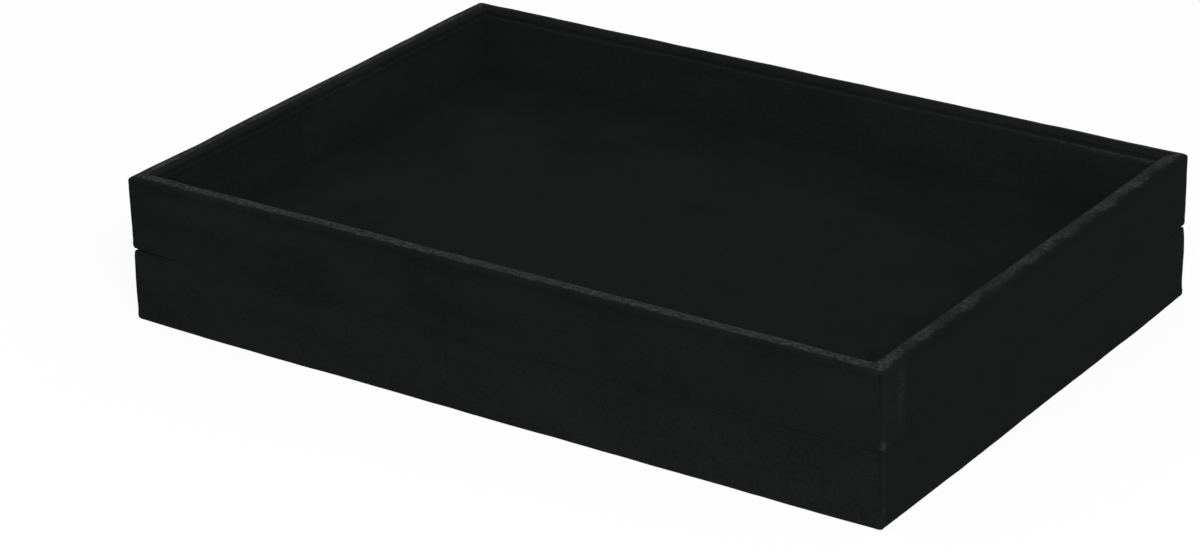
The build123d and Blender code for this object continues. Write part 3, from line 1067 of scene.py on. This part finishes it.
def make_camera():
    """The photograph's viewpoint: turned round the stack, raised, rolled a little and stepped aside."""
    back = Vector((
        math.sin(VIEW_AZIMUTH) * math.cos(VIEW_ELEVATION),
        -math.cos(VIEW_AZIMUTH) * math.cos(VIEW_ELEVATION),
        math.sin(VIEW_ELEVATION),
    ))
    level = (-back).cross(Vector((0, 0, 1))).normalized()
    upright = level.cross(-back)
    right = math.cos(VIEW_ROLL) * level + math.sin(VIEW_ROLL) * upright
    up = -math.sin(VIEW_ROLL) * level + math.cos(VIEW_ROLL) * upright
    middle = Vector((0, 0, (cad_box[0].z + cad_box[1].z) / 2))
    place = middle + back * VIEW_DISTANCE + right * VIEW_SIDESTEP + up * VIEW_RISE
    data = bpy.data.cameras.new("camera")
    data.lens = LENS
    data.sensor_width = SENSOR
    data.clip_start = NEAREST
    data.clip_end = FARTHEST
    camera = bpy.data.objects.new("camera", data)
    turned = Matrix((right, up, back)).transposed().to_4x4()
    camera.matrix_world = Matrix.Translation(place) @ turned
    bpy.context.scene.collection.objects.link(camera)
    bpy.context.scene.camera = camera


def area_light(name, place, size, power):
    """A rectangular lamp that faces the middle of the stack's base."""
    data = bpy.data.lights.new(name, "AREA")
    data.shape = "RECTANGLE"
    data.size, data.size_y = size
    data.energy = power
    light = bpy.data.objects.new(name, data)
    light.location = place
    light.rotation_euler = (-Vector(place)).to_track_quat("-Z", "Y").to_euler()
    bpy.context.scene.collection.objects.link(light)


def make_world():
    """An even world that lights the stack softly, and that the camera sees white."""
    world = bpy.data.worlds.new("studio")
    bpy.context.scene.world = world
    world.use_nodes = True
    tree = world.node_tree
    background = next(n for n in tree.nodes if n.type == "BACKGROUND")
    seen = tree.nodes.new("ShaderNodeLightPath").outputs["Is Camera Ray"]
    strength = spread(tree, seen, (0.0, 1.0), (SKY, 1.0))
    set_inputs(tree, background, {"Color": WHITE, "Strength": strength})


def make_studio_floor():
    """A pale matt floor under the stack, which the camera sees nearly white with a faint shadow."""
    far = GROUND_REACH
    mesh = bpy.data.meshes.new("floor")
    mesh.from_pydata([(-far, -far, 0), (far, -far, 0), (far, far, 0), (-far, far, 0)], [], [(0, 1, 2, 3)])
    floor = bpy.data.objects.new("studio_floor", mesh)
    bpy.context.scene.collection.objects.link(floor)
    material, tree, shader, _ = new_material("studio_floor")
    output = next(n for n in tree.nodes if n.type == "OUTPUT_MATERIAL")
    shader.inputs["Roughness"].default_value = 1.0
    shader.inputs["Specular IOR Level"].default_value = 0.0
    seen = tree.nodes.new("ShaderNodeLightPath").outputs["Is Camera Ray"]
    tree.links.new(mix(tree, seen, GROUND_SHADE, WHITE), shader.inputs["Base Color"])
    glow = add_node(tree, "ShaderNodeEmission", {"Color": WHITE, "Strength": 1.0})
    share = math_node(tree, "MULTIPLY", seen, GROUND_GLOW)
    glowing = add_node(tree, "ShaderNodeMixShader", {0: share, 1: shader.outputs[0], 2: glow.outputs[0]})
    tree.links.new(glowing.outputs[0], output.inputs["Surface"])
    mesh.materials.append(material)


make_camera()
make_world()
area_light("fill", FILL_PLACE, FILL_SIZE, FILL_POWER)
area_light("key", KEY_PLACE, KEY_SIZE, KEY_POWER)
make_studio_floor()

finishes = {
    "frame_board": board_material("raw_fibreboard", FIBREBOARD, fibre_share=0.8),
    "panel_board": board_material("thin_fibreboard", THIN_FIBREBOARD, fibre_share=0.9),
    "greyboard": paper_material("greyboard", GREYBOARD, rough=0.9, fibre_scale=700.0),
    "base_paper": paper_material("black_paper", BLACK_PAPER, rough=0.8, fibre_scale=1100.0),
    "fixing_steel": steel_material("bright_steel"),
    "black_velvet": velvet_material("black_velvet"),
}
for subpart in frame["record"]["subparts"]:
    dress(frame["nodes"][subpart["node"]], finishes[subpart["material_slot"]])

for number, name in enumerate(TRAYS, start=1):
    tray = Tray(name)
    seed = TRAY_SEEDS * number
    cloths = [make_frame_cloth(tray, seed), make_floor_cloth(tray, seed + FLOOR_SEED)]
    for step, wall in enumerate(WALLS):
        cloths.append(make_liner_cloth(tray, wall, seed + LINER_SEED + LINER_SEED_STEP * step))
    for cloth in cloths:
        dress(cloth, finishes["black_velvet"])

bpy.context.scene.view_settings.view_transform = "Standard"
